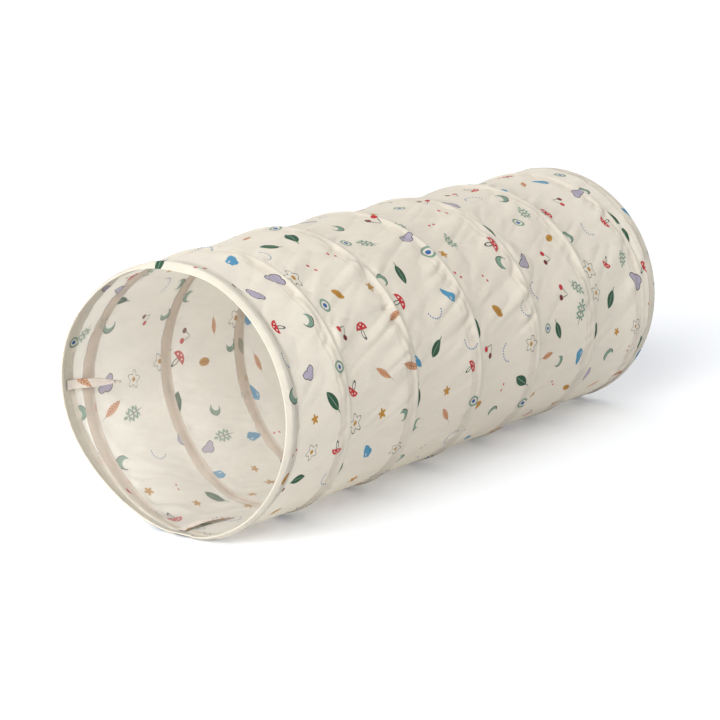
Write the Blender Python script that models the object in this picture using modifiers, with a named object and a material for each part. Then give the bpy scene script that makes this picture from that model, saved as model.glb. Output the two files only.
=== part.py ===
"""Pop-up crawl tunnel for small children, open and lying on the floor.

One sprung steel wire winds from end to end inside a printed cloth tube. Each end
has a closed steel hoop in a sewn hem, and the wire's ends are crimped to the hoops.
The cloth is a long strip wound with the wire and sewn to itself, so it is drawn here
as one panel for each turn, with a tape inside every seam that makes the wire's casing.
Two tie straps are sewn inside the near mouth, for holding the tunnel when it is
pushed flat.

The tunnel's axis is Y, its near mouth faces -Y, and it stands on Z = 0. A place round
the tunnel is counted in stations: the corners of the ring that every layer shares, so
that cloth, wire and tape lie one inside the other with an even gap. Station 0 is at 9
o'clock seen from the near mouth, and the count goes up over the top to 3 o'clock.
"""

import math

import bmesh
import bpy
from mathutils import Matrix, Vector

# Whole tunnel
TUNNEL_LENGTH = 1.200
TUNNEL_DIAMETER = 0.480
CLEARANCE = 0.0003

# Ring that every layer is drawn on, in counts and not in lengths
STATIONS = 36
BOTTOM_STATION = 27
START_STATION = 25
SPRING_TURNS = 6

# Steel
SPRING_WIRE_DIAMETER = 0.0025
HOOP_WIRE_DIAMETER = 0.0030
HOOP_JOINT_GAP = 0.0010
FERRULE_WALL = 0.0008
FERRULE_LENGTH = 0.024
FERRULE_END_COVER = 0.003
FERRULE_SIDES = 16
LEAST_SPRING_GAP = 0.0004

# Cloth
CLOTH_THICKNESS = 0.0010
CLOTH_DIP = 0.0080
SEAM_STEP = 0.0012
STITCH_DROP = 0.0030
STITCH_SLOPE_SHARE = 0.15
FOLD_DEPTH = 0.0012
FOLDS_PER_TURN = 9
FOLD_LEAN_SHARE = 0.45
NARROWEST_CLOTH = 0.004
HEM_RISE_SHARE = 0.4
DIP_PLACE_SHARES = (0.28, 0.66)
DIP_DEPTH_SHARES = (0.80, 1.00)

# Casing of the wire
CASING_WIDTH = 0.025
CASING_MOST_SHARE = 0.5
RIDGE_MARGIN = 0.0012
RIDGE_MOST_SHARE = 0.85
TAPE_THICKNESS = 0.0008
TAPE_RISE = 0.00095
SEAM_ALLOWANCE = 0.0013

# Hem round each hoop
HEM_WIDTH = 0.015
HEM_THICKNESS = 0.0010
HEM_ROUND = 0.0015

# Tie straps
TIE_LENGTH = 0.140
TIE_WIDTH = 0.020
TIE_THICKNESS = 0.0009
TIE_ROOT_INSET = 0.006
TIE_TIP_SETBACK = 0.006
TIE_FOLD_STEPS = 4
SIDE_TIE_STATION = 35.5
BOTTOM_TIE_STATION = 27.0

# Edges that turn by more than this angle are drawn sharp
SHARP_ANGLE = math.radians(40)

# Layers, from the hem's outer face inwards
HEM_OUTER_RADIUS = TUNNEL_DIAMETER / 2
FERRULE_RADIUS = HOOP_WIRE_DIAMETER / 2 + CLEARANCE + FERRULE_WALL
RIDGE_RADIUS = HEM_OUTER_RADIUS - HEM_THICKNESS - CLEARANCE
UNDER_CLOTH_RADIUS = RIDGE_RADIUS - CLOTH_THICKNESS - CLEARANCE
WIRE_PATH_RADIUS = min(
    RIDGE_RADIUS - FERRULE_RADIUS,
    UNDER_CLOTH_RADIUS - SPRING_WIRE_DIAMETER / 2,
)
TAPE_RADIUS = WIRE_PATH_RADIUS - SPRING_WIRE_DIAMETER / 2 - CLEARANCE
STITCH_RADIUS = min(UNDER_CLOTH_RADIUS - STITCH_DROP, TAPE_RADIUS)
HEM_CHANNEL_RADIUS = (
    min(STITCH_RADIUS - TAPE_THICKNESS, WIRE_PATH_RADIUS - FERRULE_RADIUS) - CLEARANCE
)
HEM_INNER_RADIUS = HEM_CHANNEL_RADIUS - HEM_THICKNESS
TIE_ROOT_RADIUS = HEM_INNER_RADIUS - CLEARANCE
TIE_TIP_RADIUS = min(
    TIE_ROOT_RADIUS, UNDER_CLOTH_RADIUS - CLOTH_DIP - FOLD_DEPTH - CLEARANCE
)

# Places along the tunnel, measured in from an end
HOOP_INSET = HEM_THICKNESS + CLEARANCE + FERRULE_RADIUS
WIRE_SPACING = (
    HOOP_WIRE_DIAMETER / 2 + CLEARANCE + FERRULE_WALL + CLEARANCE + SPRING_WIRE_DIAMETER / 2
)
SPRING_INSET = HOOP_INSET + WIRE_SPACING
CLOTH_INSET = SPRING_INSET + FERRULE_RADIUS + CLEARANCE
PITCH = (TUNNEL_LENGTH - 2 * SPRING_INSET) / SPRING_TURNS
SEAM_OFFSET = SPRING_WIRE_DIAMETER / 2 + TAPE_RISE + SEAM_ALLOWANCE
RIDGE_WIDTH = SEAM_OFFSET + SPRING_WIRE_DIAMETER / 2 + RIDGE_MARGIN
NEAR_END = -TUNNEL_LENGTH / 2
NEAR_CLOTH_EDGE = NEAR_END + CLOTH_INSET
FAR_CLOTH_EDGE = -NEAR_CLOTH_EDGE

# The lowest three corners of the ring are level, so that the tunnel stands on a flat
STATION_ANGLE = 2 * math.pi / STATIONS
FLAT_SHARE = math.cos(STATION_ANGLE)
AXIS_HEIGHT = HEM_OUTER_RADIUS * FLAT_SHARE
LAST_STEP = SPRING_TURNS * STATIONS

# Name, colour, roughness and metallic value of each finish
FINISHES = {
    "printed_cloth": ((0.80, 0.76, 0.69), 0.85, 0.0),
    "casing_tape": ((0.64, 0.54, 0.45), 0.88, 0.0),
    "hem_binding": ((0.84, 0.80, 0.73), 0.85, 0.0),
    "tie_cloth": ((0.78, 0.73, 0.65), 0.86, 0.0),
    "spring_steel": ((0.52, 0.53, 0.55), 0.38, 1.0),
    "crimp_sleeve": ((0.70, 0.71, 0.73), 0.32, 1.0),
}


def clear_scene():
    for old in list(bpy.data.objects):
        bpy.data.objects.remove(old)


def new_collection(name):
    collection = bpy.data.collections.new(name)
    bpy.context.scene.collection.children.link(collection)
    return collection


def finish(node, name):
    """A material for one node alone, in one of the finishes."""
    colour, roughness, metallic = FINISHES[name]
    material = bpy.data.materials.new(f"{node}_{name}")
    material.use_nodes = True
    shader = material.node_tree.nodes["Principled BSDF"]
    shader.inputs["Base Color"].default_value = (*colour, 1)
    shader.inputs["Roughness"].default_value = roughness
    shader.inputs["Metallic"].default_value = metallic
    material.diffuse_color = (*colour, 1)
    return material


def corner(station):
    """Direction from the axis to one corner of the ring, 1 long but for the bottom one."""
    angle = station * STATION_ANGLE
    length = FLAT_SHARE if station % STATIONS == BOTTOM_STATION else 1
    return Vector((-math.cos(angle), 0, math.sin(angle))) * length


def around(station, radius, y):
    """The point on the ring of this radius, also between two corners."""
    before = math.floor(station)
    direction = corner(before).lerp(corner(before + 1), station - before)
    return direction * radius + Vector((0, y, AXIS_HEIGHT))


def tangent(station):
    """Direction along the ring's side that holds this station."""
    before = math.ceil(station) - 1
    return (corner(before + 1) - corner(before)).normalized()


def wire_y(step):
    """Place of the spring's centre line, in steps of one station from its near end."""
    return NEAR_END + SPRING_INSET + PITCH * step / STATIONS


def seam_y(step):
    return wire_y(step) + SEAM_OFFSET


def cloth_edges(step):
    """Near and far edge of the cloth that ends at the seam passing this step."""
    near = max(seam_y(step - STATIONS) + CLEARANCE, NEAR_CLOTH_EDGE)
    far = min(seam_y(step), FAR_CLOTH_EDGE)
    return near, far


def casing_sizes(width):
    """Widths of the raised ridge and of the whole casing, and its drop at the stitches."""
    ridge = min(RIDGE_WIDTH, RIDGE_MOST_SHARE * width)
    casing = min(CASING_WIDTH, ridge + CASING_MOST_SHARE * (width - ridge))
    stitch_drop = min(STITCH_DROP, STITCH_SLOPE_SHARE * (casing - ridge))
    return ridge, casing, stitch_drop


def cloth_section(step):
    """(y, radius) across one panel: dipping between the turns, raised over the wire."""
    near, far = cloth_edges(step)
    width = far - near
    ridge, casing, stitch_drop = casing_sizes(width)
    fullness = width / PITCH
    if step > LAST_STEP:
        stitch_drop = HEM_RISE_SHARE * CLOTH_DIP * fullness**2
    dip = stitch_drop + (CLOTH_DIP - stitch_drop) * fullness**2
    step_down = SEAM_STEP * fullness if step > STATIONS else 0
    section = [(near, RIDGE_RADIUS - step_down)]
    for place, depth in zip(DIP_PLACE_SHARES, DIP_DEPTH_SHARES):
        turn = step / STATIONS + FOLD_LEAN_SHARE * place
        fold = FOLD_DEPTH * fullness * math.sin(2 * math.pi * FOLDS_PER_TURN * turn)
        y = near + place * (width - casing)
        section.append((y, RIDGE_RADIUS - depth * dip - fold))
    section.append((far - casing, RIDGE_RADIUS - stitch_drop))
    section.append((far - ridge, RIDGE_RADIUS))
    section.append((far, RIDGE_RADIUS))
    return section


def tape_section(step):
    """(y, radius) across the casing tape: flat under the wire, then up to the seam."""
    near, seam = cloth_edges(step)
    past_wire = wire_y(step) + SPRING_WIRE_DIAMETER / 2
    return [
        (seam - casing_sizes(seam - near)[1], STITCH_RADIUS),
        (past_wire, TAPE_RADIUS),
        (past_wire + TAPE_RISE, UNDER_CLOTH_RADIUS),
        (seam, UNDER_CLOTH_RADIUS),
    ]


def steps_of_turn(turn, fits):
    """The steps of one turn, the first and last drawn in to part it from its neighbours."""
    first, last = (turn - 1) * STATIONS, turn * STATIONS
    trim = CLEARANCE / (STATION_ANGLE * HEM_OUTER_RADIUS)
    steps = [first + trim, *range(first + 1, last), last - trim]
    return [step for step in steps if fits(step)]


def sheet_rows(steps, section):
    return [
        [around(START_STATION + step, radius, y) for y, radius in section(step)]
        for step in steps
    ]


def place_object(collection, obj, node_finish, carrier):
    """Puts an object in the collection, under its body's empty, where it already lies."""
    collection.objects.link(obj)
    obj.data.materials.append(finish(obj.name, node_finish))
    obj.parent = carrier
    obj.matrix_parent_inverse = Matrix.Translation(-carrier.location)


def solidify_inwards(obj, thickness):
    wall = obj.modifiers.new("wall", "SOLIDIFY")
    wall.thickness = thickness
    wall.offset = -1
    wall.use_even_offset = True


def mesh_object(name, bm):
    mesh = bpy.data.meshes.new(name)
    bm.to_mesh(mesh)
    bm.free()
    return bpy.data.objects.new(name, mesh)


def turn_outwards(bm):
    """Makes the faces of an open sheet point away from the tunnel's axis."""
    bm.normal_update()

    def from_axis(face):
        centre = face.calc_center_median()
        return Vector((centre.x, 0, centre.z - AXIS_HEIGHT))

    outermost = max(bm.faces, key=lambda face: from_axis(face).length)
    if outermost.normal.dot(from_axis(outermost)) < 0:
        bmesh.ops.reverse_faces(bm, faces=bm.faces)


def lay_sheet(name, rows, thickness):
    """A grid laid through rows of points and given its wall towards the axis."""
    bm = bmesh.new()
    along, across = len(rows) - 1, len(rows[0]) - 1
    bmesh.ops.create_grid(bm, x_segments=along, y_segments=across, size=1)
    for vertex in bm.verts:
        row = round((vertex.co.x + 1) / 2 * along)
        place = round((vertex.co.y + 1) / 2 * across)
        vertex.co = rows[row][place]
    turn_outwards(bm)
    sheet = mesh_object(name, bm)
    solidify_inwards(sheet, thickness)
    return sheet


def wire(name, points, diameter):
    """A round wire through points, one straight run from each to the next."""
    curve = bpy.data.curves.new(name, "CURVE")
    curve.dimensions = "3D"
    curve.bevel_depth = diameter / 2
    curve.bevel_resolution = 1
    curve.use_fill_caps = True
    spline = curve.splines.new("POLY")
    spline.points.add(len(points) - 1)
    for point, place in zip(spline.points, points):
        point.co = (*place, 1)
    return bpy.data.objects.new(name, curve)


def hoop(name, y, joint_station):
    """A ring of wire whose two ends meet in a crimped sleeve."""
    opening = HOOP_JOINT_GAP / 2 / (STATION_ANGLE * WIRE_PATH_RADIUS)
    first = math.ceil(joint_station)
    stations = [
        joint_station + opening,
        *range(first, first + STATIONS),
        joint_station + STATIONS - opening,
    ]
    points = [around(station, WIRE_PATH_RADIUS, y) for station in stations]
    return wire(name, points, HOOP_WIRE_DIAMETER)


def sleeve_place(end):
    """Station of the crimped sleeve, in the middle of one straight side of the ring."""
    return START_STATION + end / 2


def spring_points():
    """The spring's centre line, with each end run straight into its sleeve."""
    tail = (FERRULE_LENGTH / 2 - FERRULE_END_COVER) / (STATION_ANGLE * WIRE_PATH_RADIUS)
    start = sleeve_place(-1) - tail
    finish_station = sleeve_place(1) + LAST_STEP + tail
    points = [around(start, WIRE_PATH_RADIUS, wire_y(0))]
    for step in range(LAST_STEP + 1):
        points.append(around(START_STATION + step, WIRE_PATH_RADIUS, wire_y(step)))
    points.append(around(finish_station, WIRE_PATH_RADIUS, wire_y(LAST_STEP)))
    return points


def least_gap(points, diameter):
    """The least gap between the wire's turns, measured from point to point."""
    return min(
        (a - b).length - diameter
        for index, a in enumerate(points)
        for b in points[index + STATIONS // 2 :]
    )


def circle_points(centre_x, radius, count):
    for index in range(count):
        angle = 2 * math.pi * index / count
        yield centre_x + radius * math.cos(angle), radius * math.sin(angle)


def oval_points():
    """Outline of the sleeve: two half circles, round the hoop and round the spring."""
    for index in range(FERRULE_SIDES + 2):
        turn = index - (index > FERRULE_SIDES // 2)
        angle = math.pi / 2 + 2 * math.pi * turn / FERRULE_SIDES
        centre_x = 0 if index <= FERRULE_SIDES // 2 else WIRE_SPACING
        yield (
            centre_x + FERRULE_RADIUS * math.cos(angle),
            FERRULE_RADIUS * math.sin(angle),
        )


def outline(curve, points):
    spline = curve.splines.new("POLY")
    places = list(points)
    spline.points.add(len(places) - 1)
    for point, (x, y) in zip(spline.points, places):
        point.co = (x, y, 0, 1)
    spline.use_cyclic_u = True


def ferrule(name, end):
    """A crimped sleeve with two bores, one for the hoop's joint and one for the spring."""
    curve = bpy.data.curves.new(name, "CURVE")
    curve.dimensions = "2D"
    curve.fill_mode = "BOTH"
    curve.extrude = FERRULE_LENGTH / 2
    outline(curve, oval_points())
    outline(curve, circle_points(0, HOOP_WIRE_DIAMETER / 2 + CLEARANCE, FERRULE_SIDES))
    spring_bore = SPRING_WIRE_DIAMETER / 2 + CLEARANCE
    outline(curve, circle_points(WIRE_SPACING, spring_bore, FERRULE_SIDES))
    sleeve = bpy.data.objects.new(name, curve)
    station = sleeve_place(end)
    across = Vector((0, -end, 0))
    along = tangent(station)
    turned = Matrix((across, along.cross(across), along)).transposed()
    centre = around(station, WIRE_PATH_RADIUS, end * (TUNNEL_LENGTH / 2 - HOOP_INSET))
    sleeve.matrix_world = Matrix.Translation(centre) @ turned.to_4x4()
    return sleeve


def hem(name, end):
    """A folded binding: a profile turned round the tunnel, open towards the cloth."""
    profile = [
        (HEM_WIDTH, HEM_OUTER_RADIUS),
        (HEM_ROUND, HEM_OUTER_RADIUS),
        (0, HEM_OUTER_RADIUS - HEM_ROUND),
        (0, HEM_INNER_RADIUS + HEM_ROUND),
        (HEM_ROUND, HEM_INNER_RADIUS),
        (HEM_WIDTH, HEM_INNER_RADIUS),
    ]
    bm = bmesh.new()
    points = [
        bm.verts.new(around(0, radius, end * (TUNNEL_LENGTH / 2 - inset)))
        for inset, radius in profile
    ]
    edges = [bm.edges.new(pair) for pair in zip(points, points[1:])]
    bmesh.ops.spin(
        bm,
        geom=[*points, *edges],
        cent=(0, 0, AXIS_HEIGHT),
        axis=(0, 1, 0),
        angle=2 * math.pi,
        steps=STATIONS,
        use_merge=True,
    )
    for vertex in bm.verts:
        if vertex.co.z < AXIS_HEIGHT and abs(vertex.co.x) < CLEARANCE:
            vertex.co.z = AXIS_HEIGHT + (vertex.co.z - AXIS_HEIGHT) * FLAT_SHARE
    turn_outwards(bm)
    binding = mesh_object(name, bm)
    solidify_inwards(binding, HEM_THICKNESS)
    return binding


def tie_route():
    """(distance in from the root, radius) along the strap, out to its tip and back."""
    back_step = TIE_THICKNESS + CLEARANCE
    slope = (TIE_ROOT_RADIUS - TIE_TIP_RADIUS) / TIE_LENGTH
    bend = TIE_THICKNESS / 2 + back_step / 2
    route = [(0, TIE_ROOT_RADIUS), (TIE_LENGTH / 2, TIE_ROOT_RADIUS - slope * TIE_LENGTH / 2)]
    straight = TIE_LENGTH - bend
    for index in range(TIE_FOLD_STEPS + 1):
        angle = math.pi * index / TIE_FOLD_STEPS
        route.append(
            (
                straight + bend * math.sin(angle),
                TIE_ROOT_RADIUS - slope * straight - bend * (1 - math.cos(angle)),
            )
        )
    route.append((TIE_LENGTH / 2, TIE_ROOT_RADIUS - slope * TIE_LENGTH / 2 - 2 * bend))
    route.append((0, TIE_ROOT_RADIUS - 2 * bend))
    return route


def tie_strap(name, station):
    """A strap folded double, sewn to the hem at its root and slanted at its tip."""
    sideways = tangent(station) * TIE_WIDTH / 2
    rows = []
    for inset, radius in tie_route():
        centre = around(station, radius, NEAR_END + TIE_ROOT_INSET + inset)
        slant = Vector((0, TIE_TIP_SETBACK * inset / TIE_LENGTH, 0))
        rows.append([centre - sideways, centre + sideways - slant])
    return lay_sheet(name, rows, TIE_THICKNESS)


def body_empty(collection, name, location):
    empty = bpy.data.objects.new(name, None)
    empty.location = location
    collection.objects.link(empty)
    return empty


def tie_hinge(station):
    """The point between the strap's two layers, at its root, that it swings about."""
    radius = TIE_ROOT_RADIUS - TIE_THICKNESS - CLEARANCE / 2
    return around(station, radius, NEAR_END + TIE_ROOT_INSET)


def smooth(obj):
    """Shades a piece smooth, with the edges that are real corners kept sharp."""
    if obj.type == "MESH":
        obj.data.shade_smooth()
        obj.data.set_sharp_from_angle(angle=SHARP_ANGLE)


def main():
    clear_scene()
    parts = new_collection("play_tunnel")

    axis_point = Vector((0, NEAR_END, AXIS_HEIGHT))
    near_body = body_empty(parts, "front_end", axis_point)
    far_body = body_empty(parts, "rear_end", axis_point + Vector((0, TUNNEL_LENGTH, 0)))
    bodies = {1: near_body, SPRING_TURNS + 1: far_body}
    for turn in range(2, SPRING_TURNS + 1):
        place = axis_point + Vector((0, PITCH * (turn - 1), 0))
        bodies[turn] = body_empty(parts, f"turn_{turn}", place)

    for turn in range(1, SPRING_TURNS + 2):
        steps = steps_of_turn(
            turn, lambda step: cloth_edges(step)[1] - cloth_edges(step)[0] >= NARROWEST_CLOTH
        )
        rows = sheet_rows(steps, cloth_section)
        panel = lay_sheet(f"cloth_panel_{turn}", rows, CLOTH_THICKNESS)
        place_object(parts, panel, "printed_cloth", bodies[turn])

    for turn in range(1, SPRING_TURNS + 1):
        steps = steps_of_turn(
            turn,
            lambda step: seam_y(step) - NEAR_CLOTH_EDGE >= NARROWEST_CLOTH
            and seam_y(step) <= FAR_CLOTH_EDGE,
        )
        rows = sheet_rows(steps, tape_section)
        tape = lay_sheet(f"wire_casing_{turn}", rows, TAPE_THICKNESS)
        place_object(parts, tape, "casing_tape", bodies[turn])

    points = spring_points()
    spring = wire("spring_wire", points, SPRING_WIRE_DIAMETER)
    place_object(parts, spring, "spring_steel", near_body)
    gap = least_gap(points, SPRING_WIRE_DIAMETER)
    print(f"least gap between the spring's turns: {gap:.4f} m, needs {LEAST_SPRING_GAP:.4f} m")

    for end, name, carrier in ((-1, "front", near_body), (1, "rear", far_body)):
        y = end * (TUNNEL_LENGTH / 2 - HOOP_INSET)
        ring = hoop(f"{name}_hoop", y, sleeve_place(end))
        place_object(parts, ring, "spring_steel", carrier)
        place_object(parts, ferrule(f"{name}_ferrule", end), "crimp_sleeve", carrier)
        place_object(parts, hem(f"{name}_hem", end), "hem_binding", carrier)

    for name, station in (
        ("side_tie", SIDE_TIE_STATION),
        ("bottom_tie", BOTTOM_TIE_STATION),
    ):
        hinge = body_empty(parts, f"{name}_hinge", tie_hinge(station))
        place_object(parts, tie_strap(name, station), "tie_cloth", hinge)

    for obj in parts.objects:
        smooth(obj)


main()
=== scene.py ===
"""Looks of the pop-up play tunnel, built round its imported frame.

Metres, +Z up. The tunnel's axis is Y and its near mouth faces -Y. A place on the
cloth is given by a turn, counted along the spring from its near end, and by a
distance along the tunnel.
"""

import math

import bmesh
import bpy
import numpy as np
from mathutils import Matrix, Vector


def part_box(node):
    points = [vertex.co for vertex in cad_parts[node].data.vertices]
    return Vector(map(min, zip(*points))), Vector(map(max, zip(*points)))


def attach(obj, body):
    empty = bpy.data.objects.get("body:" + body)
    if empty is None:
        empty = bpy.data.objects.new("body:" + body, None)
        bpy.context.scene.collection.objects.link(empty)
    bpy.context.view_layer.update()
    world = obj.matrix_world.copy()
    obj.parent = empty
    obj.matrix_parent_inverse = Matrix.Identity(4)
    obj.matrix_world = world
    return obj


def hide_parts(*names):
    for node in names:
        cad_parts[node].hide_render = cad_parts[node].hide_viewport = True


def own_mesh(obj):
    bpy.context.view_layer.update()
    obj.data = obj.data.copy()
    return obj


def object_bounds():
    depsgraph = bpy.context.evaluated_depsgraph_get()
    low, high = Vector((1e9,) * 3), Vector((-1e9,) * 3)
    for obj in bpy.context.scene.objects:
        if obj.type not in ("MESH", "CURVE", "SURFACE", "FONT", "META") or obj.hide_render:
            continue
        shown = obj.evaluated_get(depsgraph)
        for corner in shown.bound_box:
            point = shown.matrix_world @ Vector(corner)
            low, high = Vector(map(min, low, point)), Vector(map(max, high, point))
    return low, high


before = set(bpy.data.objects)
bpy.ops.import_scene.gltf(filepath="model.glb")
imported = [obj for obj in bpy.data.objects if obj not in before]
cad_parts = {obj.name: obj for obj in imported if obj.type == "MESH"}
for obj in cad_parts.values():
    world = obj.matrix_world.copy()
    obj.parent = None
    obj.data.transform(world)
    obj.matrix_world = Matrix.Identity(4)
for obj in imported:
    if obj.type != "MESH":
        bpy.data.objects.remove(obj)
CAD_LOW, CAD_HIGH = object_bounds()

# Sizes that the frame gives
MOUTH_RADIUS = (CAD_HIGH.x - CAD_LOW.x) / 2
AXIS_HEIGHT = CAD_HIGH.z - MOUTH_RADIUS
FLAT_SHARE = AXIS_HEIGHT / MOUTH_RADIUS
NEAR_END, FAR_END = CAD_LOW.y, CAD_HIGH.y
CLOTH_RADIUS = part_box("cloth_panel_3")[1].z - AXIS_HEIGHT
NEAR_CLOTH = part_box("cloth_panel_1")[0].y
FAR_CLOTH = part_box("cloth_panel_7")[1].y

# Steel
TURNS = 6
START_ANGLE = math.radians(250)
SPRING_WIRE = 0.0025
HOOP_WIRE = 0.0030
NEAR_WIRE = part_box("spring_wire")[0].y + SPRING_WIRE / 2
FAR_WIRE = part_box("spring_wire")[1].y - SPRING_WIRE / 2
WIRE_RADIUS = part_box("spring_wire")[1].z - AXIS_HEIGHT - SPRING_WIRE / 2
HOOP_INSET = (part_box("front_hoop")[0].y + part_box("front_hoop")[1].y) / 2 - NEAR_END
PITCH = (FAR_WIRE - NEAR_WIRE) / TURNS
SLEEVE_LENGTH = 0.024
SLEEVE_HALF = 0.0026
SLEEVE_SPACING = NEAR_WIRE - NEAR_END - HOOP_INSET
SLEEVE_TURN = math.radians(5)
CRIMP_PLACE = 0.5
CRIMP_WIDTH = 0.16
CRIMP_DEPTH = 0.16
SPRING_TAIL_TURNS = 0.0200
SPRING_ROWS = 220
HOOP_ROWS = 360

# Cloth
CLOTH_THICKNESS = 0.0006
SEAM_OFFSET = 0.0035
CASING_WIDTH = 0.025
CASING_SHARE = 0.85
END_CASING_SHARE = 0.12
END_AREA_SHARE = 0.52
NARROWEST_CLOTH = 0.004
CLOTH_ROWS = 360
CLOTH_COLUMNS = (38, 14)
CLOTH_DIP = 0.0060
DIP_CURVE = 1.5
DIP_SKEW = 0.92
SEAM_STEP = 0.0040
CREST_SLOPE = 0.05
CREST_RISE = 0.0032
CREST_REACH = 0.0056
CREST_CURVE = 1.6
WIRE_ROUND = 0.0008
FAR_SLOPE_SHARE = 0.62
SEAM_OVERHANG = 0.0010
HEM_SAG = 0.0036
HEM_SAG_START = 0.018
HEM_SAG_REACH = 0.05
FLOOR_DIP_SHARE = 0.35
GROOVE_DEPTH = 0.0009
GROOVE_WIDTH = 0.0014
FLAT_SOFT = 0.0015

# Folds that the wire pulls in the cloth, deepest near one angle: (lean, width, length, depth, seed)
TENSION_FOLDS = (
    (0.40, 0.019, 0.120, 0.0030, 3),
    (0.30, 0.036, 0.170, 0.0038, 4),
    (0.65, 0.026, 0.110, 0.0018, 5),
    (0.35, 0.080, 0.250, 0.0034, 6),
)
FOLD_MEAN = 0.35
FOLD_PATCH = (0.17, 0.12)
FOLD_EDGE = 0.005
FOLD_EDGE_REACH = 0.012
FOLD_SEAM_REACH = 0.045
FOLD_STRENGTH = 0.60
PULLED_STRENGTH = 1.20
PULLED_ANGLE = math.radians(148)
PULLED_SPREAD = math.radians(38)

# Puckers at the casing's stitches, beside the seam before it and near the wire: (reach, depth, seed)
PUCKERS = (
    (0.012, 0.00075, 11),
    (0.016, 0.00080, 12),
    (0.008, 0.00030, 13),
)
PUCKER_LENGTH = 0.0085
PUCKER_WIDTH = 0.02
PUCKER_EDGE = 0.004
PUCKER_WIRE_INSET = 0.006

# Casing tape
TAPE_THICKNESS = 0.0005
TAPE_ROWS = 300
TAPE_COLUMNS = 20
LAYER_GAP = 0.0003
TAPE_SLACK = 0.0007
TAPE_PUFF_LENGTH = 0.016
TAPE_EDGE = 0.0015
TAPE_PLACE = 0.30
WIRE_LIFT = 0.0006
WIRE_LIFT_REACH = 0.004

# Hem: a channel for the hoop, whose fold hangs a little beyond it as a soft lip
HEM_THICKNESS = 0.0006
HEM_OUTER = CLOTH_RADIUS + HEM_THICKNESS
HEM_INSIDE = WIRE_RADIUS - HOOP_WIRE / 2 - LAYER_GAP
HEM_BAND = 0.0260
HEM_ROWS = 480
HEM_START = math.radians(262)
HEM_SPLIT = (0.010, 0.008)
HEM_DIP = 0.0012
HEM_SEAT = 0.0001
HEM_INSIDE_SPREAD = 0.0025
HEM_CLOTH_LAP = 0.001
HEM_PLACE = 0.4
HEM_PRINT_START = 20
HEM_STITCH_INSET = 0.0245
HEM_STITCH_WIDTH = 0.0014
HEM_STITCH_DEPTH = 0.0004
HEM_PUCKER_LENGTH = 0.010
HEM_PUCKER_WIDTH = 0.02
HEM_PUCKER_REACH = 0.007
HEM_PUCKER_DEPTHS = (0.0005, 0.0004)
LIP_FOLD = 0.0011
LIP_REACHES = {-1: 0.0060, 1: 0.0040}
LIP_DROPS = {-1: 0.0054, 1: 0.0040}
LIP_CURVES = (1.08, 1.2)
LIP_WAVE = 0.0008
LIP_WAVE_ANGLE = 0.35
CROWN_DROP = 0.0070
CROWN_ANGLE = math.radians(92)
CROWN_SPREAD = math.radians(17)

# Where the hem bulges round its sleeve, and how the bulge fades round, inwards and to the lip
SLEEVE_GAP = 0.0002
SLEEVE_BULGE_ANGLE = math.radians(5.04)
SLEEVE_ANGLE_FADE = math.radians(1.4)
SLEEVE_BULGE_REACH = 0.0155
SLEEVE_BULGE_FADE = 0.004
SLEEVE_LIP_FADE = 0.003

# The near mouth stands a little out of round: (waves round it, cosine and sine shares)
MOUTH_WAVE_SHARES = (
    (1, 0.0131, -0.0136),
    (2, 0.0284, 0.0038),
    (3, 0.0158, 0.0),
    (4, 0.0078, -0.0029),
)
MOUTH_LEAN_SHARES = (0.017, 0.012)
MOUTH_FORWARD_SHARE = 0.0116
MOUTH_REACH = 0.250
MOUTH_LEFT_REACH = 0.350
MOUTH_LEAN_REACH = 0.140

# The body stands a little out of round too, and its turns aren't quite evenly spaced
BODY_WAVE_SHARES = (
    (0, 0.0212, 0.0),
    (1, -0.0087, 0.0064),
    (2, -0.0069, 0.0016),
    (3, -0.0023, 0.0020),
)
BODY_LEANS = (0.0058, -0.0038)
BODY_REACH = 0.200
FAR_TAPER = 0.006
FAR_TAPER_REACH = 0.032
BODY_SHIFT_PLACES = (0, 0.1, 0.2, 0.4, 0.6, 0.8, 1.0, 1.2)
BODY_SHIFTS = (0, -0.0028, -0.0123, -0.0107, -0.0070, -0.0049, 0.0035, 0.0048)
STATIONS = np.linspace(0, BODY_SHIFT_PLACES[-1], 241)
SMOOTHED_STATIONS = 35
SMOOTH = np.hanning(SMOOTHED_STATIONS) / np.hanning(SMOOTHED_STATIONS).sum()
STATION_SHIFTS = np.interp(STATIONS, BODY_SHIFT_PLACES, BODY_SHIFTS)
STATION_SHIFTS = np.pad(STATION_SHIFTS, SMOOTHED_STATIONS // 2, "reflect", reflect_type="odd")
STATION_SHIFTS = np.convolve(STATION_SHIFTS, SMOOTH, "valid")

# Ties
TIE_LENGTH = 0.140
TIE_WIDTH = 0.016
TIE_THICKNESS = 0.0006
TIE_INSET = 0.006
TIE_PLACE = 0.1
TIE_PRINT_START = 31
TIE_AREA_SHARE = 0.75
TIE_ROWS = 36
TIE_COLUMNS = 13
TIE_CHECK_ROUND = 0.010
TIE_CHECK_ALONG = 0.006
TIE_CLEARANCE = 0.0008
TIE_CUP = 0.0012

# Each tie's angle, its run along the tunnel, sway, rise off the cloth, twist, loop and narrowing
TIES = (
    ("side_tie", math.radians(357), 0.100, -0.012, 0.020, math.radians(20), 0.0020, 0.75),
    ("bottom_tie", math.radians(270), 0.112, -0.020, 0.0, math.radians(4), 0.0036, 0.45),
)

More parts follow.
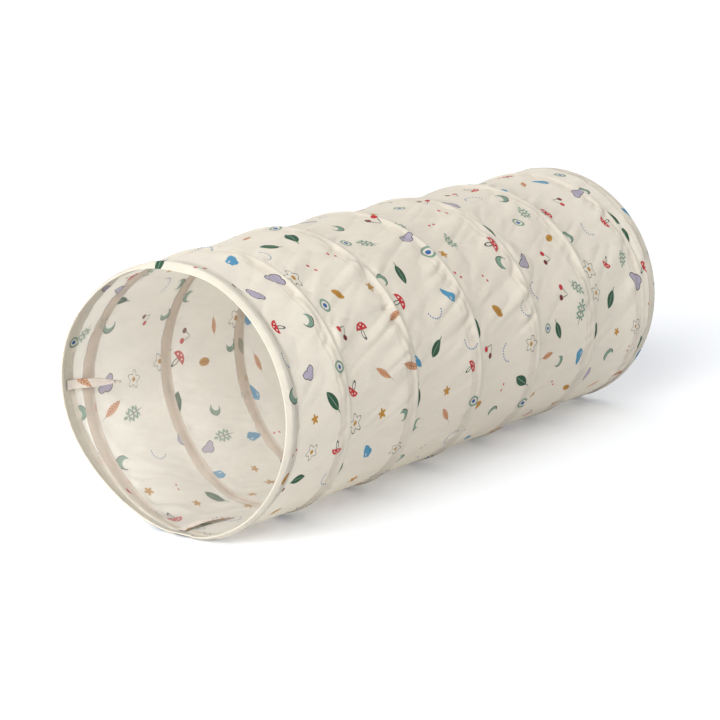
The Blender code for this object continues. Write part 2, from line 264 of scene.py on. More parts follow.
# Print: how the motifs are spread and scaled, and inks as linear colours
MOTIF_SPACING = 0.074
MOTIF_RANDOMNESS = 0.52
MOTIF_SCALE = 680
MOTIF_SCALE_SPREAD = -170
INK_EDGE = 3.0
GREEN = (0.014, 0.115, 0.050)
SAGE = (0.270, 0.420, 0.330)
SKY = (0.100, 0.380, 0.590)
OCEAN = (0.030, 0.160, 0.480)
MUSTARD = (0.600, 0.330, 0.045)
OCHRE = (0.330, 0.160, 0.020)
RED = (0.640, 0.030, 0.045)
WINE = (0.220, 0.012, 0.025)
LILAC = (0.540, 0.500, 0.610)
PEACH = (0.800, 0.480, 0.290)
TAN = (0.420, 0.190, 0.090)
CHALK = (0.860, 0.820, 0.740)
INK = (0.030, 0.028, 0.028)

# Weave, and two sizes of crease in it: (scale, stretch, turn, detail)
THREAD_PITCH = 0.0007
THREAD_HEIGHT = 0.00002
# Painted shade: the cloth's colour darkens a little where the weave's threads lie low
THREAD_SHADE = 0.012
CREASES = ((75, 0.35, 0.7, 3.0), (28, 0.4, -0.5, 2.0))
CREASE_HEIGHTS = (0.0011, 0.0030)
# Painted shade: the cloth's colour darkens in the low parts of the large creases and lightens on their
# tops
CREASE_SHADE = 0.06
LOWEST_TONE = 0.97

# Thread
STITCH_LENGTH = 0.0031
STITCH_PITCH = 0.0040
THREAD = 0.00045

# Steel and thread: their colours, and the streaks along them
SPRING_STEEL = (0.56, 0.57, 0.58)
CRIMPED_STEEL = (0.62, 0.61, 0.58)
THREAD_CREAM = (0.80, 0.72, 0.62)
STREAK_SHADE = 0.72
STREAK_ROUGHNESS = 0.25
STREAK_HEIGHT = 0.00005

# Cloth colours and studio light
CREAM = (0.850, 0.812, 0.738)
LINING_CREAM = (0.870, 0.855, 0.820)
TAPE_CREAM = (0.865, 0.800, 0.735)
FLOOR_COLOUR = (0.840, 0.850, 0.865)
FLOOR_LIFT = (0.142, 0.146, 0.154)
FILL_COLOUR = (0.600, 0.610, 0.625)
FLOOR_SIZE = 60
LAMP_COLOUR = (1.0, 0.99, 0.97)
LAMPS = (
    ("key", math.radians(10), math.radians(26), 3.0, math.radians(38)),
    ("left", math.radians(-90), math.radians(32), 0.55, math.radians(50)),
)
NEAR_LAMP_PLACE = (0.5, -2.9, 1.5)
NEAR_LAMP_POWER = 18
NEAR_LAMP_SIZE = 1.4

# Camera, fitted to the photo's hoops and seams
CAMERA_PLACE = (2.187, -3.069, 1.090)
CAMERA_AZIMUTH = math.radians(36.25)
CAMERA_PITCH = math.radians(13.47)
CAMERA_LENS = 102.9
SENSOR_WIDTH = 36


def fade(share):
    return share * share * (3 - 2 * share)


def noise(x, y, seed):
    """Smooth noise from -1 to 1 whose features are about one unit wide."""
    size = 128
    table = np.random.default_rng(seed).uniform(-1, 1, (size, size))
    column, row = np.floor(x).astype(int), np.floor(y).astype(int)
    across, up = fade(x - column), fade(y - row)
    left, right = column % size, (column + 1) % size
    low, high = row % size, (row + 1) % size
    below = table[left, low] * (1 - across) + table[right, low] * across
    above = table[left, high] * (1 - across) + table[right, high] * across
    return below * (1 - up) + above * up


def angle_of(turn):
    return START_ANGLE + 2 * math.pi * turn


def angle_from(angle, middle):
    """How far round an angle is from another, from minus half a turn to half a turn."""
    return (angle - middle + math.pi) % (2 * math.pi) - math.pi


def inset_y(end, inset):
    """The place that lies a distance in from the near end (-1) or from the far end (1)."""
    return (NEAR_END if end < 0 else FAR_END) - end * inset


def round_cloth(turn):
    """How long the strip of cloth is, along the tunnel's girth, up to this turn."""
    return turn * 2 * math.pi * CLOTH_RADIUS


def wire_y(turn):
    return NEAR_WIRE + PITCH * turn


def seam_y(turn):
    return wire_y(turn) + SEAM_OFFSET


def cloth_edges(turn):
    """Near and far edge of the strip of cloth at this turn."""
    near = np.maximum(seam_y(turn - 1), NEAR_CLOTH)
    far = np.minimum(seam_y(turn), FAR_CLOTH)
    return near, far


def wave_share(angle, rows):
    return sum(
        cosine * np.cos(waves * angle) + sine * np.sin(waves * angle)
        for waves, cosine, sine in rows
    )


def mouth_shape(angle, y):
    """(share added to the radius, shift along Y) where the near mouth is out of round."""
    reach = MOUTH_REACH + MOUTH_LEFT_REACH * np.clip(np.cos(angle), 0, 1)
    near = fade(np.clip(1 - (y - NEAR_END) / reach, 0, 1))
    across, up = MOUTH_LEAN_SHARES
    lean = across * np.cos(angle) + up * np.sin(angle) + MOUTH_FORWARD_SHARE
    lean = lean * fade(np.clip(1 - (y - NEAR_END) / MOUTH_LEAN_REACH, 0, 1))
    return near * wave_share(angle, MOUTH_WAVE_SHARES), -MOUTH_RADIUS * lean


def body_shape(angle, y):
    """The same for the whole body, away from the near hoop."""
    inset = y - NEAR_END
    inner = fade(np.clip(inset / BODY_REACH, 0, 1))
    taper = fade(np.clip((y - FAR_END) / FAR_TAPER_REACH + 1, 0, 1))
    share = wave_share(angle, BODY_WAVE_SHARES) - FAR_TAPER * taper
    across, up = BODY_LEANS
    lean = across * np.cos(angle) + up * np.sin(angle)
    return inner * share, inner * lean + np.interp(inset, STATIONS, STATION_SHIFTS)


def ring(angle, radius, y):
    """Points round the tunnel, whose underside is pressed flat where it stands."""
    mouth_share, mouth_shift = mouth_shape(angle, y)
    body_share, body_shift = body_shape(angle, y)
    share, shift = mouth_share + body_share, mouth_shift + body_shift
    lowest = -FLAT_SHARE * radius
    radius = radius * (1 + share)
    above = np.sin(angle) * radius - lowest
    share = np.clip(0.5 + 0.5 * above / FLAT_SOFT, 0, 1)
    height = lowest + above * share + FLAT_SOFT * share * (1 - share)
    x, y, z = np.broadcast_arrays(-np.cos(angle) * radius, y + shift, AXIS_HEIGHT + height)
    return np.stack([x, y, z], -1)


def casing_width(width):
    return np.minimum(CASING_WIDTH, CASING_SHARE * width)


def crest_drop(from_wire):
    """How far the cloth stands below the wire's crest, before it and just beyond it."""
    before = CREST_RISE * (1 - np.exp(-((np.abs(from_wire) / CREST_REACH) ** CREST_CURVE)))
    before = before + CREST_SLOPE * np.abs(from_wire)
    beyond = FAR_SLOPE_SHARE * (np.hypot(from_wire, WIRE_ROUND) - WIRE_ROUND)
    return np.where(from_wire < 0, before, beyond)


def wrinkles(turn, y, near, far):
    """How far the cloth stands in from its smooth form, for tension folds and puckers."""
    round_it = round_cloth(turn)
    along = y - seam_y(turn - 1)
    width = np.maximum(far - near, NARROWEST_CLOTH)
    total = np.zeros(np.broadcast(turn, y).shape)
    edge = np.minimum(y - near, far - y)
    free = np.clip((edge - FOLD_EDGE) / FOLD_EDGE_REACH, 0, 1)
    near_seam = 0.35 + 0.65 * np.exp(-edge / FOLD_SEAM_REACH)
    pulled = np.exp(-(((angle_of(turn) - PULLED_ANGLE) % (2 * math.pi) / PULLED_SPREAD) ** 2))
    pulled = pulled + np.exp(-(((PULLED_ANGLE - angle_of(turn)) % (2 * math.pi) / PULLED_SPREAD) ** 2))
    strength = FOLD_STRENGTH + PULLED_STRENGTH * pulled
    patch_round, patch_along = FOLD_PATCH
    for lean, fold, long, depth, seed in TENSION_FOLDS:
        slant = math.hypot(1, lean)
        cross = (round_it + lean * along) / slant
        line = (along - lean * round_it) / slant
        crest = 1 - 2 * np.abs(noise(cross / fold, line / long, seed))
        patch = noise(round_it / patch_round, along / patch_along, seed + 20)
        patch = fade(np.clip(0.5 + 1.2 * patch, 0, 1))
        total += depth * (crest - FOLD_MEAN) * patch * near_seam * free * strength
    by_edge = np.clip(edge / PUCKER_EDGE, 0.25, 1)
    places = (far - casing_width(width), near, far - PUCKER_WIRE_INSET)
    for place, (reach, depth, seed) in zip(places, PUCKERS):
        pucker = noise(round_it / PUCKER_LENGTH, along / PUCKER_WIDTH, seed)
        total += depth * pucker * np.exp(-np.abs(y - place) / reach) * by_edge
    return total * np.clip(width / PITCH * 3, 0, 1)


def cloth_radius(turn, y):
    """Radius of the cloth's outer face: raised over the wire, dipping between turns."""
    near, far = cloth_edges(turn)
    width = np.maximum(far - near, 1e-6)
    fullness = np.clip(width / PITCH, 0, 1)
    has_wire = turn <= TURNS
    stitch = np.where(has_wire, far - casing_width(width), far)
    over_wire = crest_drop(y - wire_y(turn))
    stitch_drop = np.where(has_wire, crest_drop(np.minimum(stitch - wire_y(turn), 0)), 0)
    step = np.where(turn > 1, SEAM_STEP * np.minimum(1, fullness * 4), 0)
    from_hem = y - NEAR_CLOTH
    sag = HEM_SAG * fade(np.clip(from_hem / HEM_SAG_START, 0, 1))
    sag = sag * np.exp(-np.clip(from_hem - HEM_SAG_START, 0, 1) / HEM_SAG_REACH)
    sag = sag * (turn <= 1) * np.minimum(1, fullness * 2)
    on_floor = np.clip(-4 * np.sin(angle_of(turn)) - 3, 0, 1)
    share = np.clip((y - near) / np.maximum(stitch - near, 1e-6), 0, 1)
    bow = np.sin(math.pi * share**DIP_SKEW)
    bow = bow * (1 - (1 - FLOOR_DIP_SHARE) * on_floor)
    dip = step * (1 - share) ** 2 + stitch_drop * share**2 + CLOTH_DIP * fullness**DIP_CURVE * bow
    dip = dip + sag * (1 - share)
    drop = np.where(y > stitch, over_wire, dip)
    groove = GROOVE_DEPTH * np.exp(-(((y - stitch) / GROOVE_WIDTH) ** 2)) * has_wire
    return CLOTH_RADIUS - drop - groove - wrinkles(turn, y, near, far)


def grid_mesh(name, rows, columns):
    """A flat grid of faces, with each vertex's row and column."""
    bm = bmesh.new()
    bmesh.ops.create_grid(bm, x_segments=rows, y_segments=columns, size=0.5)
    mesh = bpy.data.meshes.new(name)
    bm.to_mesh(mesh)
    bm.free()
    flat = np.empty(len(mesh.vertices) * 3, np.float32)
    mesh.vertices.foreach_get("co", flat)
    flat = flat.reshape(-1, 3)
    row = np.rint((flat[:, 0] + 0.5) * rows).astype(int)
    column = np.rint((flat[:, 1] + 0.5) * columns).astype(int)
    return mesh, row, column


def lay(mesh, points):
    """Moves the mesh's vertices to these points."""
    mesh.vertices.foreach_set("co", points.astype(np.float32).ravel())
    mesh.update()


def put(name, data):
    """A new object in the scene."""
    thing = bpy.data.objects.new(name, data)
    bpy.context.scene.collection.objects.link(thing)
    return thing


def paint_uv(mesh, places):
    """Gives the mesh a UV map, in metres on the flat cloth, from one place per vertex."""
    corner = np.empty(len(mesh.loops), np.int32)
    mesh.loops.foreach_get("vertex_index", corner)
    layer = mesh.uv_layers.new(name="flat_cloth")
    layer.data.foreach_set("uv", places[corner].astype(np.float32).ravel())


def sheet_object(name, points, places, thickness, materials):
    """A sheet laid through a grid of points, with its wall on the inner side.

    points holds one row more at each end than the sheet has, so that two sheets that
    meet there share their normals. The outer and inner face have a material each.
    """
    rows, columns = points.shape[0] - 3, points.shape[1] - 1
    mesh, row, column = grid_mesh(name, rows, columns)
    normals = np.cross(points[2:] - points[:-2], np.gradient(points, axis=1)[1:-1])
    normals /= np.maximum(np.linalg.norm(normals, axis=2, keepdims=True), 1e-12)
    lay(mesh, points[1:-1][row, column])
    paint_uv(mesh, places[row, column])
    for material in materials:
        mesh.materials.append(material)
    sheet = put(name, mesh)
    wall = sheet.modifiers.new("wall", "SOLIDIFY")
    wall.thickness = thickness
    wall.offset = -1
    wall.material_offset = len(materials) - 1
    bpy.context.view_layer.update()
    solid = bpy.data.meshes.new_from_object(
        sheet.evaluated_get(bpy.context.evaluated_depsgraph_get())
    )
    sheet.modifiers.clear()
    sheet.data = solid
    bpy.data.meshes.remove(mesh)
    solid.name = name
    solid.shade_smooth()
    own = normals[row, column]
    solid.normals_split_custom_set_from_vertices(np.concatenate([own, -own]).tolist())
    return sheet


def tube_object(name, points, materials):
    """A closed tube through rows of points, whose last column lies on its first."""
    mesh, row, column = grid_mesh(name, points.shape[0] - 1, points.shape[1] - 1)
    lay(mesh, points[row, column])
    bm = bmesh.new()
    bm.from_mesh(mesh)
    bmesh.ops.remove_doubles(bm, verts=bm.verts, dist=1e-6)
    bmesh.ops.holes_fill(bm, edges=[edge for edge in bm.edges if edge.is_boundary], sides=0)
    bm.to_mesh(mesh)
    bm.free()
    mesh.shade_smooth()
    for material in materials:
        mesh.materials.append(material)
    return put(name, mesh)


def strip_shares(free, casing):
    """Shares across a strip, (free part, casing part), closer together near the wire."""
    across = [(share, 0.0) for share in np.linspace(0, 1, free + 1)[:-1]]
    across += [(1.0, 1 - (1 - share) ** 1.5) for share in np.linspace(0, 1, casing + 1)]
    return np.array(across)


def first_turn(number, narrowest=NARROWEST_CLOTH):
    """Where a turn starts: at the end of the one before it, or where the cloth grows this wide."""
    return max(number - 1, (narrowest - (seam_y(0) - NEAR_CLOTH)) / PITCH)


def turn_rows(first, last, rows):
    """The turns of a sheet's rows, with one row more at each end."""
    step = (last - first) / rows
    return first + step * np.arange(-1, rows + 2)[:, None]


def cloth_panel(number, materials):
    """One turn of the printed strip, from seam to seam."""
    last = min(number, (FAR_CLOTH - NARROWEST_CLOTH - seam_y(-1)) / PITCH)
    turn = turn_rows(first_turn(number), last, CLOTH_ROWS)
    near, far = cloth_edges(turn)
    casing = np.where(turn <= TURNS, casing_width(far - near), END_CASING_SHARE * (far - near))
    shares = strip_shares(*CLOTH_COLUMNS)
    overhang = np.where(turn <= TURNS, SEAM_OVERHANG, 0)
    y = near + (far - casing - near) * shares[:, 0] + (casing + overhang) * shares[:, 1]
    points = ring(angle_of(turn), cloth_radius(turn, y), y)
    round_it = np.broadcast_to(round_cloth(turn), y.shape)
    places = np.stack([round_it, y - seam_y(turn - 1)], -1)[1:-1]
    return sheet_object(f"cloth_turn_{number}", points, places, CLOTH_THICKNESS, materials)


def tape_radius(turn, y):
    """Radius of the tape's outer face: from its stitch line, under the wire, to the seam."""
    near, far = cloth_edges(turn)
    stitch, wire = far - casing_width(far - near), wire_y(turn)
    under_layers = CLOTH_THICKNESS + LAYER_GAP
    at_stitch = cloth_radius(turn, stitch) - under_layers
    at_seam = cloth_radius(turn + 1, far) - under_layers
    under_wire = WIRE_RADIUS - SPRING_WIRE / 2 - LAYER_GAP
    before = np.clip((y - stitch) / np.maximum(wire - stitch, 1e-6), 0, 1)
    beyond = np.clip((y - wire) / (far - wire), 0, 1)
    puff = 0.6 + 0.4 * noise(turn * 2 * math.pi * WIRE_RADIUS / TAPE_PUFF_LENGTH, 0 * y, 31)
    sag = TAPE_SLACK * np.sin(math.pi * before) * puff
    near_wire = WIRE_LIFT * (1 - np.exp(-(((y - wire) / WIRE_LIFT_REACH) ** 2))) * before**3
    line = at_stitch + (under_wire - at_stitch) * before + (at_seam - under_wire) * beyond
    return np.minimum(line - sag + near_wire, cloth_radius(turn, y) - under_layers)


def casing_tape(number, materials):
    """One turn of the tape that is sewn inside the seam and holds the wire."""
    turn = turn_rows(first_turn(number), number, TAPE_ROWS)
    near, far = cloth_edges(turn)
    width = casing_width(far - near)
    across = np.linspace(0, 1, TAPE_COLUMNS + 1)
    y = far - width - TAPE_EDGE + (width + 2 * TAPE_EDGE) * across
    points = ring(angle_of(turn), tape_radius(turn, y), y)
    round_it = np.broadcast_to(round_cloth(turn), y.shape)
    places = np.stack([round_it, y - seam_y(turn) + TAPE_PLACE], -1)[1:-1]
    return sheet_object(f"tape_turn_{number}", points, places, TAPE_THICKNESS, materials)


def turn_at(angle, y):
    """The turn whose strip of cloth holds this place."""
    first = ((angle - START_ANGLE) / (2 * math.pi)) % 1
    return first + np.clip(np.ceil((y - seam_y(first)) / PITCH), 0, TURNS)


def inside_radius(angle, y):
    """Radius of what faces the child there: the cloth, or the tape over the wire."""
    y = np.clip(y, NEAR_CLOTH, FAR_CLOTH - 1e-5)
    turn = turn_at(angle, y)
    near, far = cloth_edges(turn)
    cloth = cloth_radius(turn, y) - CLOTH_THICKNESS
    taped = (turn <= TURNS) & (y > far - casing_width(far - near) - TAPE_EDGE)
    return np.where(taped, tape_radius(turn, y) - TAPE_THICKNESS, cloth)


def outside_radius(angle, y):
    """Radius of the cloth's outer face there."""
    y = np.clip(y, NEAR_CLOTH, FAR_CLOTH - 1e-5)
    return cloth_radius(turn_at(angle, y), y)


def sleeve_share(angle, inset, end):
    """From 0 to 1 where the hem bulges round its crimped sleeve."""
    gap = np.abs(angle_from(angle, START_ANGLE + end * SLEEVE_TURN))
    share = fade(np.clip((SLEEVE_BULGE_ANGLE - gap) / SLEEVE_ANGLE_FADE, 0, 1))
    share = share * fade(np.clip((SLEEVE_BULGE_REACH - inset) / SLEEVE_BULGE_FADE, 0, 1))
    return share * fade(np.clip(inset / SLEEVE_LIP_FADE + 0.5, 0, 1))


def hem_faces(angle, inset, end):
    """Outer faces of the hem's two layers, (outside, inside), at a distance in from its end."""
    y = inset_y(end, inset)
    from_crown = angle_from(angle, CROWN_ANGLE)
    crown = CROWN_DROP * np.exp(-((from_crown / CROWN_SPREAD) ** 2)) * (end < 0)
    drop = LIP_DROPS[end] + crown + LIP_WAVE * noise(angle / LIP_WAVE_ANGLE, 0 * angle, 43)
    reach = LIP_REACHES[end]
    from_lip = np.clip((inset + reach) / (HOOP_INSET + reach), 0, 1)
    from_hoop = np.clip((inset - HOOP_INSET) / (HEM_BAND - HOOP_INSET), 0, 1)
    over_cloth = outside_radius(angle, y) + HEM_THICKNESS + HEM_SEAT
    beyond_hoop = HEM_OUTER + (over_cloth - HEM_OUTER) * from_hoop
    beyond_hoop = beyond_hoop - HEM_DIP * np.sin(math.pi * from_hoop)
    puckers = noise(angle * CLOTH_RADIUS / HEM_PUCKER_LENGTH, inset / HEM_PUCKER_WIDTH, 41)
    near_stitch = np.exp(-np.abs(inset - HEM_STITCH_INSET) / HEM_PUCKER_REACH)
    puckers = near_stitch * (0.5 + 0.5 * puckers)
    stitched = np.exp(-(((inset - HEM_STITCH_INSET) / HEM_STITCH_WIDTH) ** 2))
    ruffle = HEM_PUCKER_DEPTHS[0] * puckers - HEM_STITCH_DEPTH * stitched
    outside = np.maximum(beyond_hoop + ruffle, over_cloth)
    lip = drop * (1 - from_lip) ** LIP_CURVES[0]
    outside = np.where(inset < HOOP_INSET, HEM_OUTER - lip, outside)
    under_cloth = inside_radius(angle, y) - LAYER_GAP
    inside = np.minimum(under_cloth, HEM_INSIDE + HEM_INSIDE_SPREAD)
    inside = HEM_INSIDE + (inside - HEM_INSIDE) * from_hoop
    on_cloth = inset > NEAR_CLOTH - NEAR_END - HEM_CLOTH_LAP
    inside = np.minimum(inside, np.where(on_cloth, under_cloth, 1))
    inside = inside - HEM_PUCKER_DEPTHS[1] * puckers
    lip = (drop - (HEM_OUTER - HEM_INSIDE) + 2 * LIP_FOLD) * (1 - from_lip) ** LIP_CURVES[1]
    inside = np.where(inset < HOOP_INSET, HEM_INSIDE - lip, inside)
    by_sleeve = sleeve_share(angle, inset, end)
    sleeve_room = SLEEVE_HALF + HEM_THICKNESS + SLEEVE_GAP
    outside = outside + by_sleeve * np.maximum(WIRE_RADIUS + sleeve_room - outside, 0)
    inside = inside - by_sleeve * np.maximum(inside - WIRE_RADIUS + sleeve_room, 0)
    return outside, inside


def hem_band(name, end, materials):
    """The cloth folded over a hoop and sewn down, with puckers along its stitches.

    It starts at the inner edge of the near hem and at the outer edge of the far one,
    so that its columns run the same way as the cloth's.
    """
    angle = HEM_START + 2 * math.pi * np.arange(-1, HEM_ROWS + 3)[:, None] / HEM_ROWS
    reach = LIP_REACHES[end] - LIP_FOLD
    coarse = np.linspace(HEM_BAND, HEM_SPLIT[0], 12)
    inset = np.concatenate([coarse, np.linspace(HEM_SPLIT[1], -reach, 11)])
    outside, inside = hem_faces(angle, inset, end)
    flat_y = inset_y(end, inset) + 0 * angle
    bend = np.linspace(0, math.pi, 9)[1:-1]
    middle = (outside[:, -1:] + inside[:, -1:]) / 2
    half = (outside[:, -1:] - inside[:, -1:]) / 2
    bend_radius = middle - half * np.cos(bend)
    bend_y = inset_y(end, -reach - LIP_FOLD * np.sin(bend)) + 0 * angle
    radius = np.concatenate([inside, bend_radius, outside[:, ::-1]], 1)
    y = np.concatenate([flat_y, bend_y, flat_y[:, ::-1]], 1)
    if end > 0:
        radius, y = radius[:, ::-1], y[:, ::-1]
    points = ring(angle, radius, y)
    steps = np.hypot(np.diff(radius, axis=1), np.diff(y, axis=1))
    path = np.concatenate([0 * angle, np.cumsum(steps, 1)], 1)
    round_it = np.broadcast_to(angle * CLOTH_RADIUS, path.shape) + HEM_PRINT_START
    places = np.stack([round_it, path + (HEM_PLACE if end < 0 else 2 * HEM_PLACE)], -1)
    return sheet_object(name, points, places[1:-1], HEM_THICKNESS, materials)


def round_section(angle, y, half, sides):
    """Rows of points round a wire that runs round the tunnel. half is its radius."""
    place = np.linspace(0, 2 * math.pi, sides + 1)
    return ring(angle[:, None], WIRE_RADIUS + half * np.cos(place), y[:, None] + half * np.sin(place))


def spring_coil(material):
    """The wound wire, with each end run straight into its sleeve."""
    rows = TURNS * SPRING_ROWS + 12
    turn = np.linspace(-SPRING_TAIL_TURNS, TURNS + SPRING_TAIL_TURNS, rows)
    y = wire_y(np.clip(turn, 0, TURNS))
    points = round_section(angle_of(turn), y, SPRING_WIRE / 2, 10)
    return tube_object("spring_coil", points, [material])


def hoop(name, end, material):
    angle = np.linspace(0, 2 * math.pi, HOOP_ROWS + 1)
    points = round_section(angle, inset_y(end, HOOP_INSET) + 0 * angle, HOOP_WIRE / 2, 12)
    return tube_object(name, points, [material])


def crimp_sleeve(name, end, material):
    """The flattened sleeve that closes a hoop and holds the spring's end, with two crimps."""
    place = np.linspace(-1, 1, 41)
    angle = START_ANGLE + end * SLEEVE_TURN + place * SLEEVE_LENGTH / 2 / WIRE_RADIUS
    crimps = np.exp(-(((np.abs(place) - CRIMP_PLACE) / CRIMP_WIDTH) ** 2))
    ends = np.sqrt(np.clip(1 - np.abs(place) ** 16, 0, 1))
    half = (SLEEVE_HALF * (1 - CRIMP_DEPTH * crimps) * (0.9 + 0.1 * ends))[:, None]
    side = np.linspace(0, 2 * math.pi, 33)
    flat = np.clip(3 * np.sin(side), -1, 1) * SLEEVE_SPACING / 2
    y = inset_y(end, HOOP_INSET + SLEEVE_SPACING / 2) + half * np.sin(side) + flat
    points = ring(angle[:, None], WIRE_RADIUS + half * np.cos(side), y)
    return tube_object(name, points, [material])


def tie_strap(name, middle, run, sway, away, twist, loop, point, materials):
    """A strap folded double: out along the cloth, round its tip and back to its root."""
    out = np.linspace(0, 1, TIE_ROWS)
    path = np.concatenate([out, [1.006, 1.008, 1.006], out[::-1]])
    layer = np.repeat([-1.0, -0.7, 0, 0.7, 1.0], [TIE_ROWS, 1, 1, 1, TIE_ROWS])
    y = NEAR_END + TIE_INSET + run * path
    centre = middle + sway * path**1.6 / CLOTH_RADIUS
    width = np.linspace(-0.5, 0.5, TIE_COLUMNS) * TIE_WIDTH
    reach = np.linspace(-1, 1, 9)[:, None, None] * TIE_CHECK_ROUND / CLOTH_RADIUS
    along = np.linspace(-TIE_CHECK_ALONG, TIE_CHECK_ALONG, 5)[:, None]
    least = inside_radius(centre + reach, y + along).min((0, 1))
    hem = hem_faces(centre + reach, y + along - NEAR_END, -1)[1].min((0, 1)) - HEM_THICKNESS
    least = np.where(y < NEAR_END + HEM_BAND, np.minimum(least, hem), least)
    least = np.convolve(np.pad(least, 4, "edge"), np.ones(9) / 9, "valid")
    turned = twist * fade(np.clip((path - 0.35) / 0.65, 0, 1))
    narrowing = 1 - point * fade(np.clip((path - 0.48) / 0.55, 0, 1))
    belly = np.sin(math.pi * np.clip(path, 0, 1))
    spread = TIE_THICKNESS / 2 + LAYER_GAP + loop * belly**1.3 / 2
    height = layer * spread
    half = TIE_WIDTH / 2 * narrowing
    lift = half * np.abs(np.sin(turned)) + spread + TIE_CLEARANCE + away * path**1.5
    cross = width[:, None] * narrowing
    across = cross * np.cos(turned) - height * np.sin(turned)
    inwards = cross * np.sin(turned) + height * np.cos(turned) + lift
    cup = TIE_CUP * (2 * width[:, None] / TIE_WIDTH) ** 2 * belly
    points = ring(centre + across / CLOTH_RADIUS, least - inwards - cup, y + 0 * cross)
    points = points[[0, *range(TIE_COLUMNS), -1]]
    points[0] -= points[2] - points[1]
    points[-1] += points[-2] - points[-3]
    steps = np.cumsum(np.abs(np.diff(path, prepend=0))) * run + TIE_PRINT_START + middle
    places = np.stack(np.broadcast_arrays(steps, width[:, None] + TIE_PLACE), -1)
    return sheet_object(name, points, places, TIE_THICKNESS, materials)


def stitches(name, rows, material):
    """Short threads that lie on the cloth, in rows given point by point along the seam."""
    rows = [ring(angle, radius, y) for angle, radius, y in rows]
    ahead = np.concatenate([points[1:] - points[:-1] for points in rows])
    middle = np.concatenate([(points[1:] + points[:-1]) / 2 for points in rows])
    ahead /= np.linalg.norm(ahead, axis=1, keepdims=True)
    out = middle * (1, 0, 1) - (0, 0, AXIS_HEIGHT)
    beside = np.cross(ahead, out)
    beside /= np.linalg.norm(beside, axis=1, keepdims=True)
    out = np.cross(beside, ahead)
    side = np.linspace(0, 2 * math.pi, 7)[:, None]
    around = beside[:, None, None] * np.cos(side) + out[:, None, None] * np.sin(side)
    run = np.array([-1, -0.7, 0.7, 1])[:, None, None] * STITCH_LENGTH / 2
    girth = np.array([0, 1, 1, 0])[:, None, None] * THREAD / 2
    points = middle[:, None, None] + ahead[:, None, None] * run + around * girth
    points = points.reshape(-1, 7, 3)
    mesh, row, column = grid_mesh(name, len(points) - 1, 6)
    lay(mesh, points[row, column])
    bm = bmesh.new()
    bm.from_mesh(mesh)
    bmesh.ops.remove_doubles(bm, verts=bm.verts, dist=1e-6)
    loose = [edge for edge in bm.edges if not edge.link_faces]
    bmesh.ops.delete(bm, geom=loose, context="EDGES")
    bmesh.ops.recalc_face_normals(bm, faces=bm.faces)
    bm.to_mesh(mesh)
    bm.free()
    mesh.shade_smooth()
    mesh.materials.append(material)
    return put(name, mesh)


def seam_stitches(number, material):
    """The row seen outside and the two that hold the tape inside, for one turn."""
    first = first_turn(number, 2 * NARROWEST_CLOTH)
    count = round(round_cloth(number - first) / STITCH_PITCH)
    turn = np.linspace(first, number, count + 1)
    angle = angle_of(turn)
    near, far = cloth_edges(turn)
    stitch = far - casing_width(far - near)
    outside = cloth_radius(turn, stitch) + THREAD / 8
    rows = [(angle, outside, stitch)]
    for y in (stitch, far):
        rows.append((angle, tape_radius(turn, y) - TAPE_THICKNESS - THREAD / 8, y))
    return stitches(f"seam_stitches_{number}", rows, material)


def hem_stitches(name, end, material):
    """The row that closes a hem, as it shows on its outside and on its inside."""
    count = round(round_cloth(1) / STITCH_PITCH)
    angle = np.linspace(0, 2 * math.pi, count + 1)
    outside, inside = hem_faces(angle, HEM_STITCH_INSET, end)
    y = inset_y(end, HEM_STITCH_INSET) + 0 * angle
    rows = [(angle, outside + THREAD / 8, y)]
    rows.append((angle, inside - HEM_THICKNESS - THREAD / 8, y))
    return stitches(name, rows, material)


class Field:
    """A number that changes over a surface, worked out by Math nodes."""

    def __init__(self, tree, socket):
        self.tree, self.socket = tree, socket

    def work(self, operation, *others, clamp=False):
        node = self.tree.nodes.new("ShaderNodeMath")
        node.operation = operation
        node.use_clamp = clamp
        for place, value in enumerate((self, *others)):
            if isinstance(value, Field):
                self.tree.links.new(value.socket, node.inputs[place])
            else:
                node.inputs[place].default_value = value
        return Field(self.tree, node.outputs[0])

    def __add__(self, other):
        return self.work("ADD", other)

    def __sub__(self, other):
        return self.work("SUBTRACT", other)

    def __mul__(self, other):
        return self.work("MULTIPLY", other)

    def __neg__(self):
        return self.work("MULTIPLY", -1)

    def scaled(self, share, start):
        return self.work("MULTIPLY_ADD", share, start)

    def least(self, other):
        return self.work("MINIMUM", other)

    def most(self, other):
        return self.work("MAXIMUM", other)

    def size(self):
        return self.work("ABSOLUTE")


def new_group(name, inputs, outputs):
    """A shader node group with its input and output nodes, made once for all materials."""
    tree = bpy.data.node_groups.new(name, "ShaderNodeTree")
    for way, sockets in (("INPUT", inputs), ("OUTPUT", outputs)):
        for socket, kind in sockets:
            tree.interface.new_socket(socket, in_out=way, socket_type=f"NodeSocket{kind}")
    return tree, tree.nodes.new("NodeGroupInput"), tree.nodes.new("NodeGroupOutput")


def colour_mix(tree, factor, first, second, blend="MIX"):
    """A mix of two colours. Each value is a number, a colour or the socket that gives it."""
    mix = tree.nodes.new("ShaderNodeMix")
    mix.data_type = "RGBA"
    mix.blend_type = blend
    for socket, value in (("Factor", factor), ("A", first), ("B", second)):
        if isinstance(value, bpy.types.NodeSocket):
            tree.links.new(value, mix.inputs[socket])
        else:
            mix.inputs[socket].default_value = (*value, 1) if isinstance(value, tuple) else value
    return mix.outputs["Result"]


def new_material(name):
    material = bpy.data.materials.new(name)
    material.use_nodes = True
    tree = material.node_tree
    return material, tree, tree.nodes["Principled BSDF"]


